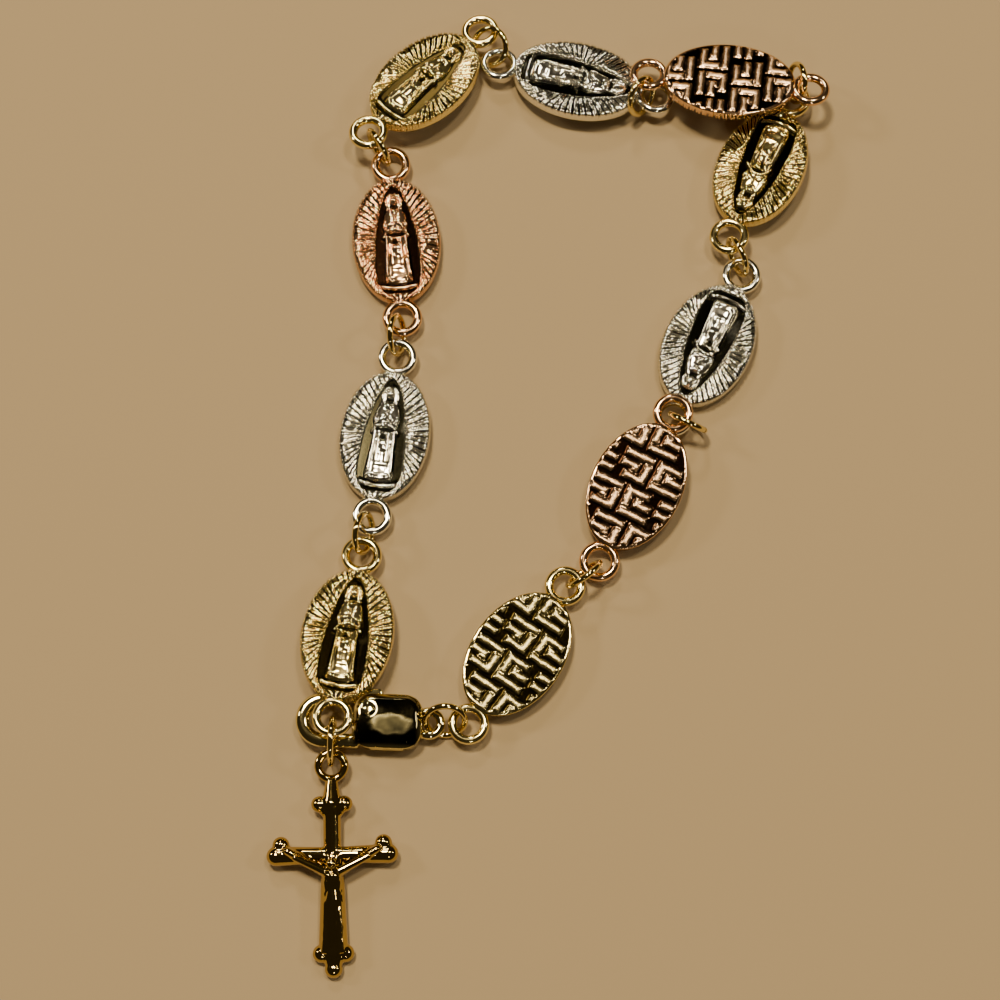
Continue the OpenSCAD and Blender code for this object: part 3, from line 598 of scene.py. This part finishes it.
wireRing = wireRingTree()
for name, mid, heading, lean, slit in ringRows:
    spec = crossRing if name == "crucifix_ring" else ring
    wire = spec["wire"] / 2
    source = meshObject(name + "Source", [(0, 0, 0)], [])
    addTree(source, wireRing, {
        "Radius": (spec["outer"] / 2 - wire) * mm, "Wire Radius": wire * mm,
        "Slit": math.radians(spec["slit"]), "Steps": spec["steps"], "Sides": spec["sides"],
        "Finish": finishes["wire"]})
    mesh = bakeModifier(source, name + "Wire")
    mesh.shade_smooth()
    mesh.transform(Matrix.Rotation(math.radians(slit), 4, "Z"))
    t, a = math.radians(heading), math.radians(lean)
    level = (math.cos(t), math.sin(t), 0)
    steep = (-math.sin(t) * math.sin(a), math.cos(t) * math.sin(a), math.cos(a))
    place(mesh, name + "_wire", framed(mid, level, steep), "wire", rootBody, name)
print("rings made")


# Clasp and crucifix: the CAD solids with their edges worn soft, as a polished casting is
def softCast(name, spec, lumps=(), frameOf=None):
    mergeDistance, lumpSegments, lumpRings, softFactor = 1e-4, 24, 16, 0.5
    solid = nodes[name]
    joined = bmesh.new()
    joined.from_mesh(solid.data)
    joined.transform(toMillimetres @ solid.matrix_world)
    bmesh.ops.remove_doubles(joined, verts=joined.verts, dist=mergeDistance)
    for x, y, z, rx, ry, rz, turn in lumps:
        stretch = Matrix.Diagonal((rx * mm, ry * mm, rz * mm, 1))
        turned = Matrix.Rotation(math.radians(turn), 4, "Z") @ stretch
        moved = Matrix.Translation((x * mm, y * mm, z * mm)) @ turned
        bmesh.ops.create_uvsphere(joined, u_segments=lumpSegments, v_segments=lumpRings, radius=1.0,
                                  matrix=toMillimetres @ frameOf @ moved)
    mesh = bpy.data.meshes.new(name + "Raw")
    joined.to_mesh(mesh)
    joined.free()
    source = bpy.data.objects.new(name + "Raw", mesh)
    bpy.context.scene.collection.objects.link(source)
    remesh = source.modifiers.new("remesh", "REMESH")
    remesh.mode = "VOXEL"
    remesh.voxel_size = spec["voxel"]
    smooth = source.modifiers.new("soften", "SMOOTH")
    smooth.factor = softFactor
    smooth.iterations = spec["softening"]
    made = bakeModifier(source, name + "Soft")
    made.shade_smooth()
    return made


# Clasp: lengths in millimetres, the rest are shares; the patch is its middle and half widths
# The darkness given for the upper face is painted shade, standing for the dark reflection of the room
clasp = {
    "origin": (-23.078, -22.533, 1.35), "heading": -2.0, "bodyFrom": 4.85, "length": 11.1, "width": 4.8,
    "thickness": 2.4, "hookWidth": 1.25, "pin": (6.0, 1.45), "voxel": 0.072, "softening": 15,
    "pillow": 0.22, "pillowPower": 2.2, "pillowLimit": 1.2, "paintedFaceShade": 0.93, "faceEdge": (1.0, 0.8),
    "faceFrom": 0.5, "pinBlend": (0.7, 1.1), "patch": (8.4, -0.4, 2.0, 1.0), "patchMatte": 0.15,
    "patchEdge": (1.1, 0.5), "patchWaves": [(0.05, 4.1, 2.7, 0.0), (0.04, -3.9, 7.3, 0.0)]}
claspTurn = math.radians(clasp["heading"])
claspFrame = framed(clasp["origin"], (math.cos(claspTurn), math.sin(claspTurn), 0),
                    (-math.sin(claspTurn), math.cos(claspTurn), 0))


def claspBody():
    # Its faces are domed a little, and the upper one is painted dark as shade, with a scuffed patch
    mesh = softCast("clasp_body", clasp)
    toClasp = toMillimetres @ claspFrame.inverted() @ toMetres
    flat = np.empty(len(mesh.vertices) * 3)
    mesh.transform(toClasp)
    mesh.vertices.foreach_get("co", flat)
    x, y, z = flat.reshape(-1, 3).T
    bodyBlend, bodyEnd, domeFrom = (-0.3, 0.1), 1.02, 0.3
    bend = clasp["width"] / 2
    half = (clasp["length"] - clasp["bodyFrom"]) / 2
    u, v = (x - clasp["length"] + half) / half, y / bend
    # How far a point is from the middle lines of hook and body, as a share of their half widths
    fromHook = np.abs(np.hypot(np.minimum(x - bend, 0), y) - bend + clasp["hookWidth"] / 2)
    fromHook = np.minimum(fromHook / clasp["hookWidth"] * 2, clasp["pillowLimit"])
    fromMiddle = np.minimum(np.abs(v) ** clasp["pillowPower"], clasp["pillowLimit"])
    body = smoothStep(clasp["bodyFrom"] + bodyBlend[0], clasp["bodyFrom"] + bodyBlend[1], x)
    onBody = np.abs(u) < bodyEnd
    drop = clasp["pillow"] * (body * fromMiddle * onBody + (1 - body) * fromHook ** 2)
    z = z - np.sign(z) * drop * smoothStep(domeFrom, 1.0, np.abs(z) / (clasp["thickness"] / 2))
    mesh.vertices.foreach_set("co", np.column_stack([x, y, z]).ravel())
    mesh.transform(toClasp.inverted())
    px, py, rx, ry = clasp["patch"]
    upper = z > clasp["faceFrom"]
    away = np.hypot((x - px) / rx, (y - py) / ry) + waves(clasp["patchWaves"], x, y)
    patch = smoothStep(*clasp["patchEdge"], away) * upper
    fromPin = np.hypot(x - clasp["pin"][0], y - clasp["pin"][1])
    # The upper face of the body, away from the pin, is painted dark: a painted shade and dark reflection
    face = body * smoothStep(*clasp["faceEdge"], np.maximum(np.abs(u), np.abs(v))) * upper
    face = face * smoothStep(*clasp["pinBlend"], fromPin)
    addAttribute(mesh, "matte", clasp["patchMatte"] * patch)
    addAttribute(mesh, "hollow", clasp["paintedFaceShade"] * face)
    addAttribute(mesh, "scuff", patch)
    mesh.update()
    return mesh


# Crucifix: its body and arms are lumps set out from the shoulders
crucifix = {"eye": (-19.8696, -26.6474, 1.45), "heading": -88.5, "drop": 2.842, "shoulders": -9.09,
            "voxel": 0.065, "softening": 4}
arm = {"lumps": 10, "start": (0.5, -0.1, 0.8), "step": (0.36, 0.2, -0.02), "size": (0.6, 0.52, 0.5),
       "thinning": 0.015, "turn": 28}

# Lumps of the buds and the body: across, up, out, half sizes, turn
bodyLumps = [
    (0, 5.35, 0, 1.15, 0.95, 0.8, 0), (0, 5.35, 0, 1.5, 0.5, 0.6, 0), (0, -6.95, 0.02, 1.5, 1.0, 0.58, 0),
    (0, 0.4, 0.85, 0.5, 0.6, 0.4, 0), (0, -1.0, 0.7, 0.8, 1.5, 0.44, 0), (0, -2.4, 0.7, 0.7, 1.4, 0.42, 0),
    (0, -3.4, 0.7, 0.74, 1.1, 0.42, 0), (0, -4.6, 0.68, 0.6, 1.5, 0.4, 0),
    (0, -5.7, 0.64, 0.5, 1.2, 0.36, 0)]


def armLump(side, k):
    x, y, z = (start + step * k for start, step in zip(arm["start"], arm["step"]))
    rx, ry, rz = arm["size"]
    return side * x, y, z, rx, ry - arm["thinning"] * k, rz, side * arm["turn"]


def crucifixCast():
    heading, drop = math.radians(crucifix["heading"]), math.radians(crucifix["drop"])
    up = (-math.cos(heading) * math.cos(drop), -math.sin(heading) * math.cos(drop), math.sin(drop))
    crossFrame = framed(crucifix["eye"], (-math.sin(heading), math.cos(heading), 0), up)
    lumps = bodyLumps + [armLump(side, k) for side in (-1, 1) for k in range(arm["lumps"])]
    lumps = [(x, y + crucifix["shoulders"], *rest) for x, y, *rest in lumps]
    return softCast("crucifix", crucifix, lumps, crossFrame)


place(claspBody(), "clasp_body_soft", toMetres, "clasp", rootBody, "clasp_body")
place(softCast("clasp_lever", clasp), "clasp_lever_soft", toMetres, "clasp", leverBody, "clasp_lever")
place(crucifixCast(), "crucifix_soft", toMetres, "cross", rootBody, "crucifix")
print("clasp and crucifix made")

# Stage and light, in metres
stage = {"half": 2, "drop": -0.00002, "colour": "#ab9672", "roughness": 0.9}
room = {"colour": "#5a5040", "strength": 0.3}
lampDistance = 0.9

# Lamp, direction, size, power, colour
lampRows = [
    ("keyWindow", (-0.17, 0.26, 0.95), 0.13, 6.4, "#ffeac4"),
    ("westLamp", (-0.8, 0.3, 0.52), 0.12, 1.5, "#fff0d8"),
    ("eastLamp", (0.75, 0.1, 0.62), 0.1, 1.0, "#fff0d8"),
    ("ceilingLamp", (0.2, 0.2, 0.96), 0.12, 2.2, "#ffeed0"),
    ("northLamp", (-0.1, 0.7, 0.62), 0.12, 1.4, "#fff0d8"),
    ("southLamp", (0.12, -0.75, 0.6), 0.06, 0.5, "#fff0d8")]

# Camera: lengths in millimetres, the elevation in degrees, the focal length and the frame in pixels
camera = {"aim": (-5.23, -2.38, 0.0), "distance": 218.0, "elevation": 75.0, "focal": 2422.0, "frame": 1000,
          "sensor": 36.0, "nearest": 10.0}


def paperFloor():
    half, drop = stage["half"], stage["drop"]
    corners = [(-half, -half, drop), (half, -half, drop), (half, half, drop), (-half, half, drop)]
    floor = meshObject("paper", corners, [(0, 1, 2, 3)])
    paper = bpy.data.materials.new("plain uncoated paper")
    paper.use_nodes = True
    shader = paper.node_tree.nodes["Principled BSDF"]
    shader.inputs["Base Color"].default_value = linear(stage["colour"])
    shader.inputs["Roughness"].default_value = stage["roughness"]
    floor.data.materials.append(paper)
    return floor


def areaLight(name, towards, size, power, colour):
    data = bpy.data.lights.new(name, "AREA")
    data.shape = "DISK"
    data.size = size
    data.energy = power
    data.color = linear(colour)[:3]
    lamp = bpy.data.objects.new(name, data)
    towards = Vector(towards).normalized()
    lamp.location = towards * lampDistance
    lamp.rotation_euler = towards.to_track_quat("Z", "Y").to_euler()
    bpy.context.scene.collection.objects.link(lamp)


def dimRoom():
    world = bpy.data.worlds.new("dim room")
    world.use_nodes = True
    background = world.node_tree.nodes["Background"]
    background.inputs["Color"].default_value = linear(room["colour"])
    background.inputs["Strength"].default_value = room["strength"]
    return world


def photoCamera():
    lens = bpy.data.cameras.new("photoCamera")
    lens.sensor_width = camera["sensor"]
    lens.lens = camera["focal"] / camera["frame"] * camera["sensor"]
    lens.clip_start = camera["nearest"] * mm
    eye = bpy.data.objects.new("photoCamera", lens)
    tilt = math.radians(camera["elevation"])
    back = camera["distance"] * Vector((0, -math.cos(tilt), math.sin(tilt)))
    eye.location = (Vector(camera["aim"]) + back) * mm
    eye.rotation_euler = (math.pi / 2 - tilt, 0, 0)
    bpy.context.scene.collection.objects.link(eye)
    return eye


floor = paperFloor()
for row in lampRows:
    areaLight(*row)
bpy.context.scene.world = dimRoom()
bpy.context.scene.camera = photoCamera()
print("stage made")
